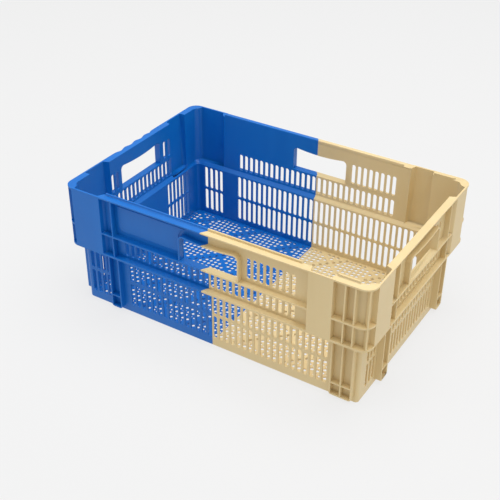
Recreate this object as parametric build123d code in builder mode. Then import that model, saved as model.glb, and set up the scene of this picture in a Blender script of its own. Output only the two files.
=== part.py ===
"""Two-colour stack-and-nest plastic crate, 600 x 400 footprint.

Frame: millimetres, +Z up, origin at the centre of the footprint on the ground.
-Y is the front wall, +Y the rear wall, -X the blue end, +X the beige end.
The upper tier is flush with the 600 x 400 outline, the lower tier is set in.
"""
from build123d import *
import math
import os

os.makedirs("parts", exist_ok=True)

# ---------------------------------------------------------------- dimensions
LENGTH = 600.0          # outer length at the rim
WIDTH = 400.0           # outer width at the rim
RIM_Z = 240.0           # top face of the rim
LIP = 4.0               # locating lip standing on the long rails
T = 3.0                 # wall thickness of the moulding
RIM_T = 3.0             # rim flange thickness
HX, HY = LENGTH / 2, WIDTH / 2
R_OUT = 20.0            # outer vertical corner radius of the upper tier

UX, UY = 286.0, 185.0   # inner faces of the upper walls (half spans)
LX, LY = 279.0, 178.0   # inner faces of the lower walls (half spans)
R_LOW = {-1: 10.0, 1: 6.0}   # outer vertical corner radius of the lower tier, blue and beige

LEDGE_TOP = 125.0       # top of the flange between the tiers
LEDGE_BOT = 121.0       # its underside
RIB_TOP = 168.0         # horizontal rib half way up the upper tier
RIB_BOT = 165.0
WALL_TOP = RIM_Z - RIM_T

FLOOR_TOP = 7.0
FLOOR_BOT = 5.2
SEAM = -2.0             # where the blue half meets the beige half
SEAM_OUT = -10.0        # the same joint at the outer edge of the flanges

SLOT_W = 7.9            # vertical ventilation slots
PITCH_X = 11.94         # slot pitch on the long walls
SLOT_X0 = 4.0           # one slot centre on the long walls
PITCH_Y = 12.35         # slot pitch on the upper end walls
PITCH_YL = 12.15        # slot pitch on the lower end walls

ROW_A = (174.0, 214.0)  # upper tier, beside the hand holes
ROW_B = (129.0, 164.5)  # upper tier, below the horizontal rib
ROW_C = (68.0, 116.0)   # lower tier, upper row
ROW_D = (16.0, 64.0)    # lower tier, lower row

HOLE_D = 7.0            # floor perforation
HOLE_PX, HOLE_PY = 9.93, 9.5

PAD_Y = 197.0           # inner face of the walls where they lie at the outline
PAD_X = 297.0
POST_Y = 191.0          # outer edge of the ribs on the lower posts
POST_X = 294.0
FOOT_Z = 5.5            # underside of the feet that stand on the rim of the crate below
CELL_Z = 29.6           # underside of the cross rib above the foot


# ------------------------------------------------------------ shared outlines
def slot_row(centres, rows):
    """Cut vertical round-ended slots in the open sketch."""
    for low, high in rows:
        with Locations(*[(c, (low + high) / 2) for c in centres]):
            SlotOverall(high - low, SLOT_W, rotation=90, mode=Mode.SUBTRACT)


def hand_hole(u0, u1, grow, mode):
    """Outline of a hand hole: flat sill, rounded shoulders, sagging grip."""
    a, b = u0 - grow, u1 + grow
    top, mid, r = 215.5 + grow, 212.0 + grow, 8.0 + grow
    c = (a + b) / 2
    k = r * (1 - math.sqrt(0.5))
    with BuildLine() as outline:
        Line((a, RIB_TOP), (a, top - r))
        ThreePointArc((a, top - r), (a + k, top - k), (a + r, top))
        ThreePointArc((a + r, top), (c, mid), (b - r, top))
        ThreePointArc((b - r, top), (b - k, top - k), (b, top - r))
        Line((b, top - r), (b, RIB_TOP))
        Line((b, RIB_TOP), (a, RIB_TOP))
    make_face(outline.line.edges(), mode=mode)


FRONT_IN = Plane.XZ.offset(UY)          # extrudes outwards from the inner face
HOLE_X = (-54.0, 60.0)
HOLE_Y = (-57.5, 61.5)                  # blue end
HOLE_Y2 = (-51.0, 64.0)                 # beige end
XS = [SLOT_X0 + PITCH_X * k for k in range(-22, 19)]


def long_slots(lo, hi):
    return [x for x in XS if lo < x < hi]


# Space above the sloped ledge; trims the inner edge of ledges and lower walls
with BuildPart() as ledge_space:
    with BuildSketch(Plane.XY.offset(LEDGE_BOT - 2)):
        RectangleRounded(2 * LX, 2 * LY, 7)
    with BuildSketch(Plane.XY.offset(LEDGE_TOP)):
        RectangleRounded(2 * UX, 2 * UY, 10)
    loft()

# ============================================================ FRONT LONG WALL
# Blue half, upper tier ------------------------------------------------------
X_BLUE = -216.0         # joint between the blue corner and the straight wall
X_BEIGE = 187.0         # joint between the beige corner and the straight wall

with BuildPart() as blue_front_upper_wall:
    with BuildSketch(FRONT_IN):
        with Locations(((X_BLUE + SEAM) / 2, (RIB_TOP + WALL_TOP) / 2)):
            Rectangle(SEAM - X_BLUE, WALL_TOP - RIB_TOP)
        hand_hole(*HOLE_X, 0, Mode.SUBTRACT)
    extrude(amount=T)
    # shallow raised field between the end pocket and the hand hole
    with BuildSketch(Plane.XZ.offset(UY + T)):
        with BuildLine():
            Polyline((-190, 227), (-47, 227), (-56, 222), (-61, 213), (-64, 179), (-182, 179),
                     (-187, 182), (-190, 190), close=True)
        make_face()
    extrude(amount=1.2)

with BuildPart() as beige_front_upper_wall:
    with BuildSketch(FRONT_IN):
        with Locations(((X_BEIGE + SEAM) / 2, (RIB_TOP + WALL_TOP) / 2)):
            Rectangle(X_BEIGE - SEAM, WALL_TOP - RIB_TOP)
        slot_row(long_slots(70, 165), [ROW_A])
        hand_hole(*HOLE_X, 0, Mode.SUBTRACT)
    extrude(amount=T)

# Slotted bands below the horizontal rib
with BuildPart() as blue_front_vent_band:
    with BuildSketch(FRONT_IN):
        with Locations(((X_BLUE + SEAM) / 2, (LEDGE_TOP + RIB_TOP) / 2)):
            Rectangle(SEAM - X_BLUE, RIB_TOP - LEDGE_TOP)
        slot_row(long_slots(-185, SEAM), [ROW_B])
    extrude(amount=T)

with BuildPart() as beige_front_vent_band:
    with BuildSketch(FRONT_IN):
        with Locations(((X_BEIGE + SEAM) / 2, (LEDGE_TOP + RIB_TOP) / 2)):
            Rectangle(X_BEIGE - SEAM, RIB_TOP - LEDGE_TOP)
        slot_row(long_slots(SEAM, 165), [ROW_B])
    extrude(amount=T)

# Rim rails: a flat flange with a raised locating lip along its inner edge
with BuildPart() as blue_front_rail:
    with BuildSketch(Plane.XY.offset(WALL_TOP)):
        with BuildLine():
            Polyline((X_BLUE, -UY), (SEAM, -UY), (SEAM, -UY - T), (SEAM_OUT, -HY),
                     (X_BLUE, -HY), close=True)
        make_face()
    extrude(amount=RIM_T)
    with BuildSketch(Plane.XY.offset(RIM_Z)):
        with BuildLine():
            Polyline((X_BLUE + 2, -UY), (SEAM, -UY), (SEAM, -UY - T), (X_BLUE + 2, -UY - T),
                     close=True)
        make_face()
    extrude(amount=LIP)

with BuildPart() as beige_front_rail:
    with BuildSketch(Plane.XY.offset(WALL_TOP)):
        with BuildLine():
            Polyline((SEAM, -UY), (X_BEIGE, -UY), (X_BEIGE, -HY), (SEAM_OUT, -HY),
                     (SEAM, -UY - T), close=True)
        make_face()
    extrude(amount=RIM_T)
    with BuildSketch(Plane.XY.offset(RIM_Z)):
        with BuildLine():
            Polyline((SEAM, -UY), (176, -UY), (172, -UY - T), (SEAM, -UY - T), close=True)
        make_face()
    extrude(amount=LIP)

# Horizontal rib half way up, with the stiffening rib beside the corner pocket
with BuildPart() as blue_front_outer_ribs:
    with BuildSketch(Plane.XY.offset(RIB_BOT)):
        with BuildLine():
            Polyline((X_BLUE, -UY - T), (SEAM, -UY - T), (SEAM_OUT, -HY), (X_BLUE, -HY),
                     close=True)
        make_face()
    extrude(amount=RIB_TOP - RIB_BOT)
    with BuildSketch(Plane.XY.offset(LEDGE_TOP)):
        with Locations((-197, -(UY + T + HY - 1) / 2)):
            Rectangle(2.6, HY - 1 - UY - T)
    extrude(amount=WALL_TOP - LEDGE_TOP)

with BuildPart() as beige_front_outer_rib:
    with BuildSketch(Plane.XY.offset(RIB_BOT)):
        with BuildLine():
            Polyline((SEAM, -UY - T), (X_BEIGE, -UY - T), (X_BEIGE, -HY), (SEAM_OUT, -HY),
                     close=True)
        make_face()
    extrude(amount=RIB_TOP - RIB_BOT)

# Collar round the hand hole
GRIP_OUT = HY - 1.0
with BuildPart() as blue_front_grip:
    with BuildSketch(Plane.XZ.offset(UY + T)):
        hand_hole(*HOLE_X, 2.8, Mode.ADD)
        hand_hole(*HOLE_X, 0, Mode.SUBTRACT)
    extrude(amount=GRIP_OUT - UY - T)
    with BuildSketch(Plane.XY.offset(RIB_TOP - 1)):
        with BuildLine():
            Polyline((-80, -UY - T), (SEAM, -UY - T), (SEAM_OUT, -HY), (-80, -HY), close=True)
        make_face()
    extrude(amount=60, mode=Mode.INTERSECT)

with BuildPart() as beige_front_grip:
    with BuildSketch(Plane.XZ.offset(UY + T)):
        hand_hole(*HOLE_X, 2.8, Mode.ADD)
        hand_hole(*HOLE_X, 0, Mode.SUBTRACT)
    extrude(amount=GRIP_OUT - UY - T)
    with BuildSketch(Plane.XY.offset(RIB_TOP - 1)):
        with BuildLine():
            Polyline((80, -UY - T), (SEAM, -UY - T), (SEAM_OUT, -HY), (80, -HY), close=True)
        make_face()
    extrude(amount=60, mode=Mode.INTERSECT)

# Flange between the tiers with the sloped ledge inside
with BuildPart() as blue_front_ledge:
    with BuildSketch(Plane.XY.offset(LEDGE_BOT)):
        with BuildLine():
            Polyline((X_BLUE, -LY), (SEAM, -LY), (SEAM, -UY), (SEAM_OUT, -HY), (X_BLUE, -HY),
                     close=True)
        make_face()
    extrude(amount=LEDGE_TOP - LEDGE_BOT)
    add(ledge_space.part, mode=Mode.SUBTRACT)

with BuildPart() as beige_front_ledge:
    with BuildSketch(Plane.XY.offset(LEDGE_BOT)):
        with BuildLine():
            Polyline((X_BEIGE, -LY), (SEAM, -LY), (SEAM, -UY), (SEAM_OUT, -HY), (X_BEIGE, -HY),
                     close=True)
        make_face()
    extrude(amount=LEDGE_TOP - LEDGE_BOT)
    add(ledge_space.part, mode=Mode.SUBTRACT)

# Lower tier -----------------------------------------------------------------
def long_lower_wall(lo, hi, centres):
    """Slotted lower wall at the front, between two x positions."""
    with BuildSketch(Plane.XZ.offset(LY)) as profile:
        with Locations(((lo + hi) / 2, LEDGE_BOT / 2)):
            Rectangle(hi - lo, LEDGE_BOT)
        slot_row(centres, [ROW_C, ROW_D])
    extrude(profile.sketch, amount=T)
    add(ledge_space.part, mode=Mode.SUBTRACT)


COLUMN = {k: LX + T - r for k, r in R_LOW.items()}    # where the corner columns start
COLUMN_Y = {k: LY + T - r for k, r in R_LOW.items()}

with BuildPart() as blue_front_lower_wall:
    long_lower_wall(-COLUMN[-1], SEAM, [-265, -252.6, -240.2, -228] + long_slots(-180, SEAM))

with BuildPart() as beige_front_lower_wall:
    long_lower_wall(SEAM, COLUMN[1], long_slots(SEAM, 225))


def long_post(x_ribs):
    """Ribbed guide post with a hollow foot on the outside of a long lower wall."""
    x0, x1 = x_ribs[0] - 1.4, x_ribs[-1] + 1.4
    base = LY + T
    for x in x_ribs:
        with BuildSketch(Plane.YZ.offset(x - 1.4)) as profile:
            with BuildLine():
                Polyline((-base, FOOT_Z), (-base, LEDGE_BOT), (-POST_Y, LEDGE_BOT),
                         (-POST_Y, FOOT_Z + 1.5), (-POST_Y + 1.5, FOOT_Z), close=True)
            make_face()
        extrude(profile.sketch, amount=2.8)
    for z in (CELL_Z, FOOT_Z):
        with BuildSketch(Plane.XY.offset(z)) as profile:
            with Locations(((x0 + x1) / 2, -(base + POST_Y) / 2)):
                Rectangle(x1 - x0, POST_Y - base)
        extrude(profile.sketch, amount=2.6)
    # the foot's lower corners are cut off
    with BuildSketch(Plane.XZ.offset(base)) as profile:
        with BuildLine():
            Polyline((x0, LEDGE_BOT), (x0, FOOT_Z + 4), (x0 + 2, FOOT_Z + 1), (x0 + 5, FOOT_Z),
                     (x1 - 5, FOOT_Z), (x1 - 2, FOOT_Z + 1), (x1, FOOT_Z + 4), (x1, LEDGE_BOT),
                     close=True)
        make_face()
    extrude(profile.sketch, amount=POST_Y - base, mode=Mode.INTERSECT)


with BuildPart() as blue_front_lower_post:
    long_post([-217.6, -197.0])

with BuildPart() as beige_front_lower_post:
    long_post([234.2, 253.4, 272.8])

# ================================================================= END WALLS
Y_BLUE = (-90.0, 97.0)      # joints between the blue corners and the blue end wall
Y_BEIGE = (-114.0, 126.0)   # joints between the beige corners and the beige end wall
ROW_A_Y = (173.0, 210.0)
BLUE_MID, BLUE_SPAN = sum(Y_BLUE) / 2, Y_BLUE[1] - Y_BLUE[0]
BEIGE_MID, BEIGE_SPAN = sum(Y_BEIGE) / 2, Y_BEIGE[1] - Y_BEIGE[0]
ROW_B_Y = [PITCH_Y * (k + 0.5) for k in range(-8, 8)]


def end_panel(plane, mid, span, low, high, rows, hole=None):
    """Straight part of an upper end wall between two heights."""
    with BuildSketch(plane) as profile:
        with Locations((mid, (low + high) / 2)):
            Rectangle(span, high - low)
        for centres, row in rows:
            slot_row(centres, [row])
        if hole:
            hand_hole(*hole, 0, Mode.SUBTRACT)
    extrude(profile.sketch, amount=T)


BLUE_IN, BEIGE_IN = Plane.YZ.offset(-UX - T), Plane.YZ.offset(UX)

with BuildPart() as blue_end_upper_wall:
    end_panel(BLUE_IN, BLUE_MID, BLUE_SPAN, RIB_TOP, WALL_TOP,
              [([-83.0, -70.5, 77.0, 91.0], ROW_A_Y)], HOLE_Y)

with BuildPart() as blue_end_vent_band:
    end_panel(BLUE_IN, BLUE_MID, BLUE_SPAN, LEDGE_TOP, RIB_TOP,
              [(ROW_B_Y[1:-1] + [92.3], ROW_B)])

with BuildPart() as beige_end_upper_wall:
    end_panel(BEIGE_IN, BEIGE_MID, BEIGE_SPAN, RIB_TOP, WALL_TOP,
              [([78.0, 91.0], ROW_A_Y)], HOLE_Y2)

with BuildPart() as beige_end_vent_band:
    end_panel(BEIGE_IN, BEIGE_MID, BEIGE_SPAN, LEDGE_TOP, RIB_TOP,
              [(ROW_B_Y, ROW_B)])

# Blue end rail: the outer edge is scalloped for the fingers
with BuildPart() as blue_end_rail:
    with BuildSketch(Plane.XY.offset(WALL_TOP)):
        with BuildLine():
            Polyline((-HX, 66), (-HX, Y_BLUE[1]), (-UX, Y_BLUE[1]), (-UX, Y_BLUE[0]),
                     (-HX, Y_BLUE[0]), (-HX, -58))
            Spline((-HX, -58), (-296.3, -42), (-299.6, -27), (-296.3, -12), (-299.6, 3),
                   (-296.3, 18), (-299.6, 33), (-296.3, 49), (-HX, 66),
                   tangents=[(0, 1), (0, 1)])
        make_face()
    extrude(amount=RIM_T)

with BuildPart() as beige_end_rail:
    with BuildSketch(Plane.XY.offset(WALL_TOP)):
        with Locations(((UX + HX) / 2, BEIGE_MID)):
            Rectangle(HX - UX, BEIGE_SPAN)
    extrude(amount=RIM_T)

with BuildPart() as blue_end_outer_ribs:
    with BuildSketch(Plane.XY.offset(RIB_BOT)):
        with Locations((-(UX + T + HX) / 2, BLUE_MID)):
            Rectangle(HX - UX - T, BLUE_SPAN)
    extrude(amount=RIB_TOP - RIB_BOT)

with BuildPart() as beige_end_outer_ribs:
    with BuildSketch(Plane.XY.offset(RIB_BOT)):
        with Locations(((UX + T + HX) / 2, BEIGE_MID)):
            Rectangle(HX - UX - T, BEIGE_SPAN)
    extrude(amount=RIB_TOP - RIB_BOT)
    with BuildSketch(Plane.XY.offset(LEDGE_TOP)):
        with Locations(((UX + T + HX - 1) / 2, -96.5), ((UX + T + HX - 1) / 2, 113)):
            Rectangle(HX - 1 - UX - T, 2.6)
    extrude(amount=WALL_TOP - LEDGE_TOP)

with BuildPart() as blue_end_grip:
    with BuildSketch(Plane.YZ.offset(-HX + 1)):
        hand_hole(*HOLE_Y, 2.8, Mode.ADD)
        hand_hole(*HOLE_Y, 0, Mode.SUBTRACT)
    extrude(amount=HX - 1 - UX - T)

with BuildPart() as beige_end_grip:
    with BuildSketch(Plane.YZ.offset(UX + T)):
        hand_hole(*HOLE_Y2, 2.8, Mode.ADD)
        hand_hole(*HOLE_Y2, 0, Mode.SUBTRACT)
    extrude(amount=HX - 1 - UX - T)

with BuildPart() as blue_end_ledge:
    with BuildSketch(Plane.XY.offset(LEDGE_BOT)):
        with Locations((-(LX + HX) / 2, BLUE_MID)):
            Rectangle(HX - LX, BLUE_SPAN)
    extrude(amount=LEDGE_TOP - LEDGE_BOT)
    add(ledge_space.part, mode=Mode.SUBTRACT)

with BuildPart() as beige_end_ledge:
    with BuildSketch(Plane.XY.offset(LEDGE_BOT)):
        with Locations(((LX + HX) / 2, BEIGE_MID)):
            Rectangle(HX - LX, BEIGE_SPAN)
    extrude(amount=LEDGE_TOP - LEDGE_BOT)
    add(ledge_space.part, mode=Mode.SUBTRACT)

with BuildPart() as blue_end_lower_wall:
    with BuildSketch(Plane.YZ.offset(-LX - T)):
        with Locations((0, LEDGE_BOT / 2)):
            Rectangle(2 * COLUMN_Y[-1], LEDGE_BOT)
        slot_row([s * (76.6 + 12.55 * k) for k in range(6) for s in (-1, 1)], [ROW_C, ROW_D])
    extrude(amount=T)
    add(ledge_space.part, mode=Mode.SUBTRACT)

with BuildPart() as beige_end_lower_wall:
    with BuildSketch(Plane.YZ.offset(LX)):
        with Locations((0, LEDGE_BOT / 2)):
            Rectangle(2 * COLUMN_Y[1], LEDGE_BOT)
        slot_row([-57.7 + PITCH_YL * k for k in range(-2, 14)] + [-154, -142, -130, 152],
                 [ROW_C, ROW_D])
    extrude(amount=T)
    add(ledge_space.part, mode=Mode.SUBTRACT)


def end_post(sx, y_ribs):
    """Ribbed guide post with a hollow foot on the outside of a lower end wall."""
    y0, y1 = y_ribs[0] - 1.4, y_ribs[-1] + 1.4
    base = LX + T
    for y in y_ribs:
        with BuildSketch(Plane.XZ.offset(-y - 1.4)) as profile:
            with BuildLine():
                Polyline((sx * base, FOOT_Z), (sx * base, LEDGE_BOT), (sx * POST_X, LEDGE_BOT),
                         (sx * POST_X, FOOT_Z + 1.5), (sx * (POST_X - 1.5), FOOT_Z), close=True)
            make_face()
        extrude(profile.sketch, amount=2.8)
    for z in (CELL_Z - 1, FOOT_Z):
        with BuildSketch(Plane.XY.offset(z)) as profile:
            with Locations((sx * (base + POST_X) / 2, (y0 + y1) / 2)):
                Rectangle(POST_X - base, y1 - y0)
        extrude(profile.sketch, amount=2.6)
    # the foot's lower corners are cut off
    with BuildSketch(Plane.YZ.offset(sx * base)) as profile:
        with BuildLine():
            Polyline((y0, LEDGE_BOT), (y0, FOOT_Z + 2.5), (y0 + 2.5, FOOT_Z), (y1 - 6, FOOT_Z),
                     (y1 - 2, FOOT_Z + 2), (y1, FOOT_Z + 6), (y1, LEDGE_BOT), close=True)
        make_face()
    extrude(profile.sketch, amount=sx * (POST_X - base), mode=Mode.INTERSECT)


with BuildPart() as beige_end_front_post:
    end_post(1, [-118.0, -95.8])

with BuildPart() as beige_end_rear_post:
    end_post(1, [116.2, 138.8])

with BuildPart() as blue_end_front_post:
    end_post(-1, [-167.5, -146])

with BuildPart() as blue_end_rear_post:
    end_post(-1, [146, 167.5])

# =============================================================== UPPER CORNERS
def front_corner(sx, x_joint, y_joint, inner, outer, ribs, lips):
    """Upper corner at the front, sx = -1 (blue) or +1 (beige).

    inner: plan points of the inside face from the long wall to the end wall
    outer: plan points of the outside face of the same wall, in the same order
    """
    rk = R_OUT * (1 - math.sqrt(0.5))
    # folded wall between the flanges
    with BuildSketch(Plane.XY.offset(LEDGE_TOP)) as profile:
        with BuildLine():
            Polyline(*inner, *reversed(outer), close=True)
        make_face()
    extrude(profile.sketch, amount=WALL_TOP - LEDGE_TOP)
    # rim flange and horizontal rib follow the rounded outline
    for z, t in ((WALL_TOP, RIM_T), (RIB_BOT, RIB_TOP - RIB_BOT)):
        with BuildSketch(Plane.XY.offset(z)) as profile:
            with BuildLine():
                Polyline((sx * (HX - R_OUT), -HY), (x_joint, -HY), *inner, (sx * HX, y_joint),
                         (sx * HX, -HY + R_OUT))
                ThreePointArc((sx * HX, -HY + R_OUT), (sx * (HX - rk), -HY + rk),
                              (sx * (HX - R_OUT), -HY))
            make_face()
        extrude(profile.sketch, amount=t)
    # flange between the tiers
    with BuildSketch(Plane.XY.offset(LEDGE_BOT)) as profile:
        with BuildLine():
            Polyline((sx * (HX - R_OUT), -HY), (x_joint, -HY), (x_joint, -LY), (sx * LX, -LY),
                     (sx * LX, y_joint), (sx * HX, y_joint), (sx * HX, -HY + R_OUT))
            ThreePointArc((sx * HX, -HY + R_OUT), (sx * (HX - rk), -HY + rk),
                          (sx * (HX - R_OUT), -HY))
        make_face()
    extrude(profile.sketch, amount=LEDGE_TOP - LEDGE_BOT)
    add(ledge_space.part, mode=Mode.SUBTRACT)
    # stiffening ribs in the pockets: centre, size, angle in plan
    with BuildSketch(Plane.XY.offset(LEDGE_TOP)) as profile:
        for cx, cy, lx, ly, ang in ribs:
            with Locations((cx, cy)):
                Rectangle(lx, ly, rotation=ang)
    extrude(profile.sketch, amount=WALL_TOP - LEDGE_TOP)
    # locating lips on the rim
    for lip in lips:
        with BuildSketch(Plane.XY.offset(RIM_Z)) as profile:
            with BuildLine():
                Polyline(*lip, close=True)
            make_face()
        extrude(profile.sketch, amount=LIP)


BLUE_INNER = [(X_BLUE, -UY), (-220, -187.5), (-224.5, -195.5), (-227, -PAD_Y), (-276, -PAD_Y),
              (-278.5, -189), (-280.5, -186), (-284, -182.5), (-UX, -178)]
BLUE_OUTER = [(X_BLUE, -UY - T), (-219.5, -191), (-221, -194), (-221, -HY), (-282, -HY),
              (-282, -190), (-287, -185), (-UX - T, -179)]
BLUE_RIBS = [(-290.2, -190.2, 2.6, 10.5, -45), (-294, -165, 11, 2.6, 0)]

with BuildPart() as blue_front_corner:
    front_corner(
        -1, X_BLUE, Y_BLUE[0],
        inner=BLUE_INNER + [(-UX, -144), (-PAD_X, -144), (-PAD_X, -97), (-296, -94),
                            (-UX, Y_BLUE[0])],
        outer=BLUE_OUTER + [(-UX - T, -147), (-HX, -147), (-HX, -94), (-299, -92),
                            (-UX - T, Y_BLUE[0])],
        ribs=BLUE_RIBS, lips=[])

with BuildPart() as blue_rear_corner_as_front:
    front_corner(
        -1, X_BLUE, -Y_BLUE[1],
        inner=BLUE_INNER + [(-UX, -147.5), (-PAD_X, -146.5), (-PAD_X, -104), (-296, -101),
                            (-UX, -Y_BLUE[1])],
        outer=BLUE_OUTER + [(-UX - T, -150.5), (-HX, -150.5), (-HX, -101), (-299, -99),
                            (-UX - T, -Y_BLUE[1])],
        ribs=BLUE_RIBS, lips=[])

BEIGE_INNER = [(X_BEIGE, -UY), (189.5, -UY), (193.5, -PAD_Y), (229.5, -PAD_Y), (231.5, -UY),
               (280, -UY), (284, -183), (UX, -179.5), (288, -176), (PAD_X, -172.5)]
BEIGE_OUTER = [(X_BEIGE, -UY - T), (187.3, -UY - T), (190.5, -HY), (234, -HY),
               (234.5, -UY - T), (281, -UY - T), (287, -185.5), (289.5, -179), (291, -177),
               (HX, -177)]
BEIGE_RIBS = [(254.2, -193.5, 2.6, 11, 0), (271.4, -193.5, 2.6, 11, 0),
              (290.4, -190.4, 2.6, 11, 45)]
BEIGE_LIP = [(233, -UY), (270, -UY), (273.5, -UY - T), (236, -UY - T)]

with BuildPart() as beige_front_corner:
    front_corner(
        1, X_BEIGE, Y_BEIGE[0],
        inner=BEIGE_INNER + [(PAD_X, -130), (296, -127), (UX, -122.5), (UX, Y_BEIGE[0])],
        outer=BEIGE_OUTER + [(HX, -119.5), (299, -117.5), (UX + T, Y_BEIGE[0])],
        ribs=BEIGE_RIBS, lips=[BEIGE_LIP])

with BuildPart() as beige_rear_corner_as_front:
    front_corner(
        1, X_BEIGE, -Y_BEIGE[1],
        inner=BEIGE_INNER + [(PAD_X, -135), (296, -132), (UX, -127.5), (UX, -Y_BEIGE[1])],
        outer=BEIGE_OUTER + [(HX, -133.5), (299, -131.5), (UX + T, -Y_BEIGE[1])],
        ribs=BEIGE_RIBS, lips=[BEIGE_LIP])

# =============================================================== LOWER CORNERS
def lower_corner(sx):
    """Rounded column that joins the lower long and end walls at the front."""
    r_out = R_LOW[sx]
    r_in = r_out - T
    cx, cy = COLUMN[sx], COLUMN_Y[sx]
    k_out = r_out * (1 - math.sqrt(0.5))
    k_in = r_in * (1 - math.sqrt(0.5))
    with BuildSketch(Plane.XY) as profile:
        with BuildLine():
            ThreePointArc((sx * cx, -LY - T), (sx * (LX + T - k_out), -LY - T + k_out),
                          (sx * (LX + T), -cy))
            Line((sx * (LX + T), -cy), (sx * LX, -cy))
            ThreePointArc((sx * LX, -cy), (sx * (LX - k_in), -LY + k_in), (sx * cx, -LY))
            Line((sx * cx, -LY), (sx * cx, -LY - T))
        make_face()
    extrude(profile.sketch, amount=LEDGE_BOT)
    add(ledge_space.part, mode=Mode.SUBTRACT)


with BuildPart() as blue_front_lower_corner:
    lower_corner(-1)

with BuildPart() as beige_front_lower_corner:
    lower_corner(1)

# ====================================================================== FLOOR
def floor_holes(lo, hi):
    """Perforation grid; the diagonals over the under-ribs stay closed."""
    pts = []
    for i in range(-30, 30):
        for j in range(-40, 5):
            m, r = (i - 10) % 10, j % 10
            if (m + r) % 10 == 5 or (m - r) % 10 == 5:
                continue
            x, y = 3.3 + HOLE_PX * i, 151.5 + HOLE_PY * j
            if abs(x) > LX - 12 and abs(y) > LY - 12:
                continue
            if lo + 3.5 < x < hi - 3.5 and abs(y) < LY - 4:
                pts.append((x, y))
    return pts


def floor_half(sx, lo, hi):
    """Perforated plate with diagonal stiffening ribs underneath."""
    with BuildSketch(Plane.XY.offset(FLOOR_BOT)) as profile:
        with Locations(((lo + hi) / 2, 0)):
            Rectangle(hi - lo, 2 * LY)
        RectangleRounded(2 * LX, 2 * LY, R_LOW[sx] - T, mode=Mode.INTERSECT)
        with Locations(*floor_holes(lo, hi)):
            Circle(HOLE_D / 2, mode=Mode.SUBTRACT)
    extrude(profile.sketch, amount=FLOOR_TOP - FLOOR_BOT)
    ang = math.degrees(math.atan2(HOLE_PY, HOLE_PX))
    with BuildSketch(Plane.XY) as profile:
        for c in range(-9, 10):
            xc = 3.3 + HOLE_PX * (5 + 10 * c)
            for s in (1, -1):
                with Locations((xc, 151.5)):
                    Rectangle(1100, 2.2, rotation=s * ang)
        with Locations(((lo + hi) / 2, 0)):
            Rectangle(hi - lo, 2 * LY, mode=Mode.INTERSECT)
        RectangleRounded(2 * LX, 2 * LY, R_LOW[sx] - T, mode=Mode.INTERSECT)
    extrude(profile.sketch, amount=FLOOR_BOT)


with BuildPart() as blue_floor:
    floor_half(-1, -LX, SEAM)

with BuildPart() as beige_floor:
    floor_half(1, SEAM, LX)

# ================================================================== REAR SIDE
with BuildPart() as blue_rear_upper_wall:
    mirror(blue_front_upper_wall.part, about=Plane.XZ)
with BuildPart() as beige_rear_upper_wall:
    mirror(beige_front_upper_wall.part, about=Plane.XZ)
with BuildPart() as blue_rear_vent_band:
    mirror(blue_front_vent_band.part, about=Plane.XZ)
with BuildPart() as beige_rear_vent_band:
    mirror(beige_front_vent_band.part, about=Plane.XZ)
with BuildPart() as blue_rear_rail:
    mirror(blue_front_rail.part, about=Plane.XZ)
with BuildPart() as beige_rear_rail:
    mirror(beige_front_rail.part, about=Plane.XZ)
with BuildPart() as blue_rear_outer_ribs:
    mirror(blue_front_outer_ribs.part, about=Plane.XZ)
with BuildPart() as beige_rear_outer_rib:
    mirror(beige_front_outer_rib.part, about=Plane.XZ)
with BuildPart() as blue_rear_grip:
    mirror(blue_front_grip.part, about=Plane.XZ)
with BuildPart() as beige_rear_grip:
    mirror(beige_front_grip.part, about=Plane.XZ)
with BuildPart() as blue_rear_ledge:
    mirror(blue_front_ledge.part, about=Plane.XZ)
with BuildPart() as beige_rear_ledge:
    mirror(beige_front_ledge.part, about=Plane.XZ)
with BuildPart() as blue_rear_wall_as_front:
    long_lower_wall(-COLUMN[-1], SEAM, [-257.2, -244.6, -232.4, -220.4] + long_slots(-180, SEAM))
with BuildPart() as blue_rear_lower_wall:
    mirror(blue_rear_wall_as_front.part, about=Plane.XZ)
with BuildPart() as beige_rear_lower_wall:
    mirror(beige_front_lower_wall.part, about=Plane.XZ)
with BuildPart() as blue_rear_lower_post:
    mirror(blue_front_lower_post.part, about=Plane.XZ)
with BuildPart() as beige_rear_lower_post:
    mirror(beige_front_lower_post.part, about=Plane.XZ)
with BuildPart() as blue_rear_corner:
    mirror(blue_rear_corner_as_front.part, about=Plane.XZ)
with BuildPart() as beige_rear_corner:
    mirror(beige_rear_corner_as_front.part, about=Plane.XZ)
with BuildPart() as blue_rear_lower_corner:
    mirror(blue_front_lower_corner.part, about=Plane.XZ)
with BuildPart() as beige_rear_lower_corner:
    mirror(beige_front_lower_corner.part, about=Plane.XZ)

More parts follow.
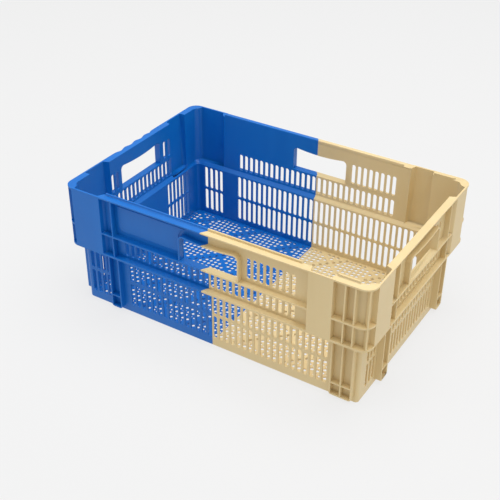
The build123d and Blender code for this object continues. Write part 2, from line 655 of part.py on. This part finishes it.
# ===================================================================== EXPORT
PIECES = {
    "blue_floor": blue_floor, "beige_floor": beige_floor,
    "blue_front_upper_wall": blue_front_upper_wall,
    "beige_front_upper_wall": beige_front_upper_wall,
    "blue_rear_upper_wall": blue_rear_upper_wall,
    "beige_rear_upper_wall": beige_rear_upper_wall,
    "blue_end_upper_wall": blue_end_upper_wall,
    "beige_end_upper_wall": beige_end_upper_wall,
    "blue_front_vent_band": blue_front_vent_band,
    "beige_front_vent_band": beige_front_vent_band,
    "blue_rear_vent_band": blue_rear_vent_band,
    "beige_rear_vent_band": beige_rear_vent_band,
    "blue_end_vent_band": blue_end_vent_band,
    "beige_end_vent_band": beige_end_vent_band,
    "blue_front_rail": blue_front_rail, "beige_front_rail": beige_front_rail,
    "blue_rear_rail": blue_rear_rail, "beige_rear_rail": beige_rear_rail,
    "blue_end_rail": blue_end_rail, "beige_end_rail": beige_end_rail,
    "blue_front_outer_ribs": blue_front_outer_ribs,
    "beige_front_outer_rib": beige_front_outer_rib,
    "blue_rear_outer_ribs": blue_rear_outer_ribs,
    "beige_rear_outer_rib": beige_rear_outer_rib,
    "blue_end_outer_ribs": blue_end_outer_ribs,
    "beige_end_outer_ribs": beige_end_outer_ribs,
    "blue_front_grip": blue_front_grip, "beige_front_grip": beige_front_grip,
    "blue_rear_grip": blue_rear_grip, "beige_rear_grip": beige_rear_grip,
    "blue_end_grip": blue_end_grip, "beige_end_grip": beige_end_grip,
    "blue_front_ledge": blue_front_ledge, "beige_front_ledge": beige_front_ledge,
    "blue_rear_ledge": blue_rear_ledge, "beige_rear_ledge": beige_rear_ledge,
    "blue_end_ledge": blue_end_ledge, "beige_end_ledge": beige_end_ledge,
    "blue_front_lower_wall": blue_front_lower_wall,
    "beige_front_lower_wall": beige_front_lower_wall,
    "blue_rear_lower_wall": blue_rear_lower_wall,
    "beige_rear_lower_wall": beige_rear_lower_wall,
    "blue_end_lower_wall": blue_end_lower_wall,
    "beige_end_lower_wall": beige_end_lower_wall,
    "blue_front_lower_post": blue_front_lower_post,
    "beige_front_lower_post": beige_front_lower_post,
    "blue_rear_lower_post": blue_rear_lower_post,
    "beige_rear_lower_post": beige_rear_lower_post,
    "blue_end_front_post": blue_end_front_post,
    "blue_end_rear_post": blue_end_rear_post,
    "beige_end_front_post": beige_end_front_post,
    "beige_end_rear_post": beige_end_rear_post,
    "blue_front_corner": blue_front_corner, "beige_front_corner": beige_front_corner,
    "blue_rear_corner": blue_rear_corner, "beige_rear_corner": beige_rear_corner,
    "blue_front_lower_corner": blue_front_lower_corner,
    "beige_front_lower_corner": beige_front_lower_corner,
    "blue_rear_lower_corner": blue_rear_lower_corner,
    "beige_rear_lower_corner": beige_rear_lower_corner,
}
for piece_name, piece in PIECES.items():
    piece.part.label = piece_name
    export_step(piece.part, f"parts/{piece_name}.step")
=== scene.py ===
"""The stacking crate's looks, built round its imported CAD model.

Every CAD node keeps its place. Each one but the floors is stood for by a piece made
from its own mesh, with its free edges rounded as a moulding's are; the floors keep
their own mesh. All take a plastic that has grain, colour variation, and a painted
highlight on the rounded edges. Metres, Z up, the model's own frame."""

import math

import bmesh
import bpy
from mathutils import Matrix, Vector
from mathutils.bvhtree import BVHTree


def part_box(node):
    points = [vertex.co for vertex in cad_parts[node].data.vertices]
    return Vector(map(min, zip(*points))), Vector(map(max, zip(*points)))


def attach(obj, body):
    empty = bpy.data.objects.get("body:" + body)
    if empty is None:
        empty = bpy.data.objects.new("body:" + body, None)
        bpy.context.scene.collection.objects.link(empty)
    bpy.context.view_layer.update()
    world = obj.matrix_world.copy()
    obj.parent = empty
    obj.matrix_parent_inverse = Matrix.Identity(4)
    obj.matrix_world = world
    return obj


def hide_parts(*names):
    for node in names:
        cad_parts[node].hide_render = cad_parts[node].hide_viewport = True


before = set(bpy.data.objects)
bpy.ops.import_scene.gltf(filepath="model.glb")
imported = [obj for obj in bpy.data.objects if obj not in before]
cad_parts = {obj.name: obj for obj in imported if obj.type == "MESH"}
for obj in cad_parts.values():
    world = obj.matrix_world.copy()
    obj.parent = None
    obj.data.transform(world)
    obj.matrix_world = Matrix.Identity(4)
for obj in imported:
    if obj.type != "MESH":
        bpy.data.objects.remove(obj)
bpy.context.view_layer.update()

# ------------------------------------------------------------------ dimensions
RADIUS = 0.0006  # rounding of a moulded edge
RIM_RADIUS = 0.0010  # rounding of the rim, the grips and the pads, which hands touch
SLOT_RADIUS = 0.00035  # rounding round the slots
TOUCHING = 0.00004  # two nodes' faces closer than this are one surface
MIN_ANGLE = math.radians(43)  # edges flatter than this are part of a curve or a slope

BLUE_SLOT, BEIGE_SLOT = "blue_plastic", "beige_plastic"


# ------------------------------------------------------------------- materials
def nodes_of(material):
    material.use_nodes = True
    tree = material.node_tree
    tree.nodes.clear()
    return tree.nodes, tree.links


def noise(nodes, links, coords, scale, detail, rough=0.5, stretch=None):
    """A noise texture in the object's own metres, with scale in cycles per metre."""
    source = coords.outputs["Object"]
    if stretch:
        mapping = nodes.new("ShaderNodeMapping")
        mapping.inputs["Scale"].default_value = stretch
        links.new(source, mapping.inputs["Vector"])
        source = mapping.outputs["Vector"]
    tex = nodes.new("ShaderNodeTexNoise")
    tex.inputs["Scale"].default_value = scale
    tex.inputs["Detail"].default_value = detail
    tex.inputs["Roughness"].default_value = rough
    links.new(source, tex.inputs["Vector"])
    return tex.outputs["Fac"]


def mix(nodes, links, factor, a, b, blend="MIX"):
    m = nodes.new("ShaderNodeMix")
    m.data_type = "RGBA"
    m.blend_type = blend
    for socket, value in ((m.inputs[0], factor), (m.inputs[6], a), (m.inputs[7], b)):
        if hasattr(value, "is_output"):
            links.new(value, socket)
        elif isinstance(value, (int, float)):
            socket.default_value = value
        else:
            socket.default_value = (*value, 1.0)
    return m.outputs[2]


def ranged(nodes, links, value, lo, hi, to_lo, to_hi):
    r = nodes.new("ShaderNodeMapRange")
    r.clamp = True
    for i, number in enumerate((lo, hi, to_lo, to_hi), 1):
        r.inputs[i].default_value = number
    links.new(value, r.inputs[0])
    return r.outputs[0]


def math_node(nodes, links, operation, a, b):
    m = nodes.new("ShaderNodeMath")
    m.operation = operation
    for socket, value in ((m.inputs[0], a), (m.inputs[1], b)):
        if hasattr(value, "is_output"):
            links.new(value, socket)
        else:
            socket.default_value = value
    return m.outputs[0]


def plastic(name, base, light, deep, painted_edge_highlight, glow, gloss):
    """Injection-moulded plastic: fine spark-eroded grain, faint flow marks down the
    walls, slow drift in colour and gloss, and duller rounded edges with a painted
    highlight that makes them paler."""
    material = bpy.data.materials.new(name)
    nodes, links = nodes_of(material)
    out = nodes.new("ShaderNodeOutputMaterial")
    shader = nodes.new("ShaderNodeBsdfPrincipled")
    links.new(shader.outputs["BSDF"], out.inputs["Surface"])
    coords = nodes.new("ShaderNodeTexCoord")

    drift = noise(nodes, links, coords, 7.0, 3.0)
    flow = noise(nodes, links, coords, 26.0, 4.0, stretch=(1.0, 1.0, 0.18))
    speckle = noise(nodes, links, coords, 900.0, 2.0)
    grain = noise(nodes, links, coords, 1700.0, 3.0, 0.6)
    sink = noise(nodes, links, coords, 38.0, 2.0)
    # stretched noise that breaks up the painted highlight on the rounded edges
    highlight_breakup = noise(nodes, links, coords, 240.0, 5.0, 0.7, stretch=(1.0, 1.0, 0.35))

    colour = mix(
        nodes, links, ranged(nodes, links, drift, 0.35, 0.65, 0.0, 1.0), deep, base
    )
    colour = mix(
        nodes, links, ranged(nodes, links, flow, 0.45, 0.75, 0.0, 0.45), colour, light
    )
    colour = mix(
        nodes, links, ranged(nodes, links, speckle, 0.62, 0.78, 0.0, 0.18), colour, light
    )
    # painted highlight: the rounded edge faces are made paler in patches, and a little duller below
    edge = nodes.new("ShaderNodeAttribute")
    edge.attribute_name = "painted_edge_highlight"
    edge_highlight_amount = math_node(
        nodes,
        links,
        "MULTIPLY",
        edge.outputs["Fac"],
        ranged(nodes, links, highlight_breakup, 0.40, 0.70, 0.02, 0.30),
    )
    colour = mix(nodes, links, edge_highlight_amount, colour, painted_edge_highlight)
    links.new(colour, shader.inputs["Base Color"])

    rough = ranged(nodes, links, flow, 0.3, 0.7, gloss - 0.05, gloss + 0.06)
    rough = math_node(
        nodes, links, "ADD", rough, ranged(nodes, links, speckle, 0.4, 0.7, -0.02, 0.05)
    )
    rough = math_node(
        nodes, links, "ADD", rough, math_node(nodes, links, "MULTIPLY", edge_highlight_amount, 0.12)
    )
    links.new(rough, shader.inputs["Roughness"])

    first = nodes.new("ShaderNodeBump")
    first.inputs["Strength"].default_value = 0.35
    first.inputs["Distance"].default_value = 0.0006
    links.new(sink, first.inputs["Height"])
    second = nodes.new("ShaderNodeBump")
    second.inputs["Strength"].default_value = 0.16
    second.inputs["Distance"].default_value = 0.00006
    links.new(grain, second.inputs["Height"])
    links.new(first.outputs["Normal"], second.inputs["Normal"])
    links.new(second.outputs["Normal"], shader.inputs["Normal"])

    shader.inputs["Specular IOR Level"].default_value = 0.42
    shader.inputs["IOR"].default_value = 1.49
    shader.inputs["Subsurface Weight"].default_value = glow
    shader.inputs["Subsurface Radius"].default_value = (1.0, 0.7, 0.45)
    shader.inputs["Subsurface Scale"].default_value = 0.0015
    return material


blue = plastic(
    "blue_moulding",
    base=(0.0010, 0.144, 0.53),
    light=(0.0020, 0.165, 0.58),
    deep=(0.0005, 0.128, 0.49),
    # paler colour of the painted highlight on the rounded edges
    painted_edge_highlight=(0.050, 0.240, 0.66),
    glow=0.05,
    gloss=0.40,
)
beige = plastic(
    "beige_moulding",
    base=(0.725, 0.570, 0.305),
    light=(0.755, 0.605, 0.340),
    deep=(0.695, 0.540, 0.282),
    # paler colour of the painted highlight on the rounded edges
    painted_edge_highlight=(0.800, 0.670, 0.420),
    glow=0.10,
    gloss=0.42,
)


# ---------------------------------------------------------------------- pieces
def clean(node):
    """The node's mesh with its split corners welded and its flat faces whole."""
    bm = bmesh.new()
    bm.from_mesh(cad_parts[node].data)
    bmesh.ops.remove_doubles(bm, verts=bm.verts, dist=1e-6)
    bmesh.ops.dissolve_degenerate(bm, edges=bm.edges, dist=1e-7)
    bmesh.ops.dissolve_limit(
        bm, angle_limit=math.radians(0.3), verts=bm.verts, edges=bm.edges
    )
    bm.normal_update()
    return bm


def slab(node):
    """The corners and sides of the plain block a node fills."""
    (x0, y0, z0), (x1, y1, z1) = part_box(node)
    corners = [Vector((x, y, z)) for x in (x0, x1) for y in (y0, y1) for z in (z0, z1)]
    return corners, [(0, 1, 3, 2), (4, 5, 7, 6), (0, 1, 5, 4), (2, 3, 7, 6), (0, 2, 6, 4), (1, 3, 7, 5)]


def neighbours(node):
    """A search tree of everything that touches the node's box."""
    lo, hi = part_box(node)
    verts, faces = [], []
    for other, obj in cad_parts.items():
        a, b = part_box(other)
        if other == node or any(a[i] > hi[i] + 0.001 or b[i] < lo[i] - 0.001 for i in range(3)):
            continue
        start = len(verts)
        if other.endswith("_floor"):  # its thousands of holes don't matter at its edge
            corners, sides = slab(other)
        else:
            corners = [v.co.copy() for v in obj.data.vertices]
            sides = [tuple(p.vertices) for p in obj.data.polygons]
        verts += corners
        faces += [[start + i for i in side] for side in sides]
    return BVHTree.FromPolygons(verts, faces) if faces else None


def free(edge, tree):
    """Whether both faces at this edge are open to the air next to it."""
    if tree is None:
        return True
    a, b = edge.verts[0].co, edge.verts[1].co
    along = b - a
    steps = max(3, min(9, int(along.length / 0.008)))
    blocked = 0
    for face in edge.link_faces:
        inward = face.normal.cross(along).normalized()
        middle = (a + b) / 2
        if not_inside(face, middle + inward * 0.0002):
            inward = -inward
        for k in range(steps):
            p = a + along * ((k + 0.5) / steps) + inward * 0.0004
            hit = tree.find_nearest(p, TOUCHING)
            if hit[0] is not None:
                blocked += 1
    return blocked * 4 < steps


def not_inside(face, point):
    """Whether point, in the face's plane by one of its edges, is off the face."""
    loops = [v.co for v in face.verts]
    n = face.normal
    axis = max(range(3), key=lambda i: abs(n[i]))
    i, j = [k for k in range(3) if k != axis]
    inside = False
    for p, q in zip(loops, loops[1:] + loops[:1]):
        if (p[j] > point[j]) != (q[j] > point[j]):
            t = (point[j] - p[j]) / (q[j] - p[j])
            if p[i] + t * (q[i] - p[i]) > point[i]:
                inside = not inside
    return not inside


def curved(face, painted_edge_highlight):
    """Whether a face is a facet of a curved surface, not a flat of its own."""
    for edge in face.edges:
        for other in edge.link_faces:
            if other is not face and other[painted_edge_highlight] < 0.5:
                if math.radians(2) < face.normal.angle(other.normal, 0.0) < math.radians(28):
                    return True
    return False


def piece(node, radius, material):
    """The node with its free edges rounded."""
    bm = clean(node)
    painted_edge_highlight = bm.faces.layers.float.new("painted_edge_highlight")
    tree = neighbours(node)
    chosen = [
        e
        for e in bm.edges
        if len(e.link_faces) == 2
        and e.is_convex
        and e.calc_face_angle(0.0) > MIN_ANGLE
        and free(e, tree)
    ]
    made = bmesh.ops.bevel(
        bm,
        geom=chosen,
        offset=radius,
        offset_type="OFFSET",
        segments=2,
        profile=0.5,
        affect="EDGES",
        clamp_overlap=True,
        loop_slide=True,
    )
    # the rounded faces, which the material paints with a paler highlight
    for f in made["faces"]:
        f[painted_edge_highlight] = 1.0
    for f in bm.faces:
        f.smooth = f[painted_edge_highlight] > 0.5 or curved(f, painted_edge_highlight)
    bmesh.ops.triangulate(bm, faces=[f for f in bm.faces if len(f.verts) > 4])
    mesh = bpy.data.meshes.new("moulded_" + node)
    bm.to_mesh(mesh)
    bm.free()
    mesh.set_sharp_from_angle(angle=math.radians(35))
    mesh.materials.append(material)
    obj = bpy.data.objects.new("moulded_" + node, mesh)
    bpy.context.scene.collection.objects.link(obj)
    even = obj.modifiers.new("even", "WEIGHTED_NORMAL")
    even.keep_sharp = True
    even.weight = 60
    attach(obj, "root")
    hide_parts(node)
    return obj


def paint(node, material):
    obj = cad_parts[node]
    obj.data.materials.clear()
    obj.data.materials.append(material)


for node in sorted(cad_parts):
    material, slot = (blue, BLUE_SLOT) if node.startswith("blue") else (beige, BEIGE_SLOT)
    if node.endswith("_floor"):
        paint(node, material)
        continue
    radius = (
        SLOT_RADIUS
        if "wall" in node or "band" in node
        else RIM_RADIUS
        if "rail" in node or "grip" in node
        else RADIUS
    )
    piece(node, radius, material)


# ------------------------------------------------------------ stage and camera
def stage_floor():
    mesh = bpy.data.meshes.new("floor")
    s = 6.0
    mesh.from_pydata([(-s, -s, 0), (s, -s, 0), (s, s, 0), (-s, s, 0)], [], [(0, 1, 2, 3)])
    obj = bpy.data.objects.new("floor", mesh)
    obj.location = (0, 0, -0.0002)
    bpy.context.scene.collection.objects.link(obj)
    material = bpy.data.materials.new("pale_floor")
    nodes, links = nodes_of(material)
    out = nodes.new("ShaderNodeOutputMaterial")
    shader = nodes.new("ShaderNodeBsdfPrincipled")
    shader.inputs["Base Color"].default_value = (0.12, 0.12, 0.12, 1)
    shader.inputs["Emission Color"].default_value = (1, 1, 1, 1)
    shader.inputs["Emission Strength"].default_value = 0.74
    shader.inputs["Roughness"].default_value = 0.95
    shader.inputs["Specular IOR Level"].default_value = 0.1
    links.new(shader.outputs["BSDF"], out.inputs["Surface"])
    mesh.materials.append(material)


def area_light(name, place, target, size, power, colour=(1, 1, 1)):
    light = bpy.data.lights.new(name, "AREA")
    light.shape = "RECTANGLE"
    light.size, light.size_y = size
    light.energy = power
    light.color = colour
    obj = bpy.data.objects.new(name, light)
    obj.location = place
    obj.rotation_mode = "QUATERNION"
    obj.rotation_quaternion = (Vector(target) - Vector(place)).to_track_quat("-Z", "Y")
    bpy.context.scene.collection.objects.link(obj)


stage_floor()
world = bpy.data.worlds.new("studio")
bpy.context.scene.world = world
world.use_nodes = True
world.node_tree.nodes["Background"].inputs["Color"].default_value = (1, 1, 1, 1)
world.node_tree.nodes["Background"].inputs["Strength"].default_value = 0.55

area_light("overhead", (0.3, 0.2, 2.6), (0, 0, 0.1), (2.6, 2.2), 62.0)
area_light("right", (2.6, -0.6, 1.5), (0, 0, 0.1), (1.6, 1.4), 7.0)
area_light("left", (-2.2, -1.3, 2.0), (0, 0, 0.1), (1.8, 1.6), 14.0)

cam = bpy.data.cameras.new("camera")
cam.sensor_width = 36.0
cam.sensor_fit = "HORIZONTAL"
cam.lens = 36.0 * 946.93 / 500.0
cam.clip_start, cam.clip_end = 0.05, 50
camera = bpy.data.objects.new("camera", cam)
back = Vector((0.4399, -0.7094, 0.5506)).normalized()
side = Vector((0.8499, 0.5270, 0.0)).normalized()
rise = back.cross(side)
roll = math.radians(0.39)
across = math.cos(roll) * side + math.sin(roll) * rise
upward = -math.sin(roll) * side + math.cos(roll) * rise
camera.matrix_world = Matrix(
    (
        (across.x, upward.x, back.x, 0.7395),
        (across.y, upward.y, back.y, -1.2539),
        (across.z, upward.z, back.z, 1.0588),
        (0, 0, 0, 1),
    )
)
bpy.context.scene.collection.objects.link(camera)
bpy.context.scene.camera = camera
bpy.context.scene.view_settings.view_transform = "Standard"
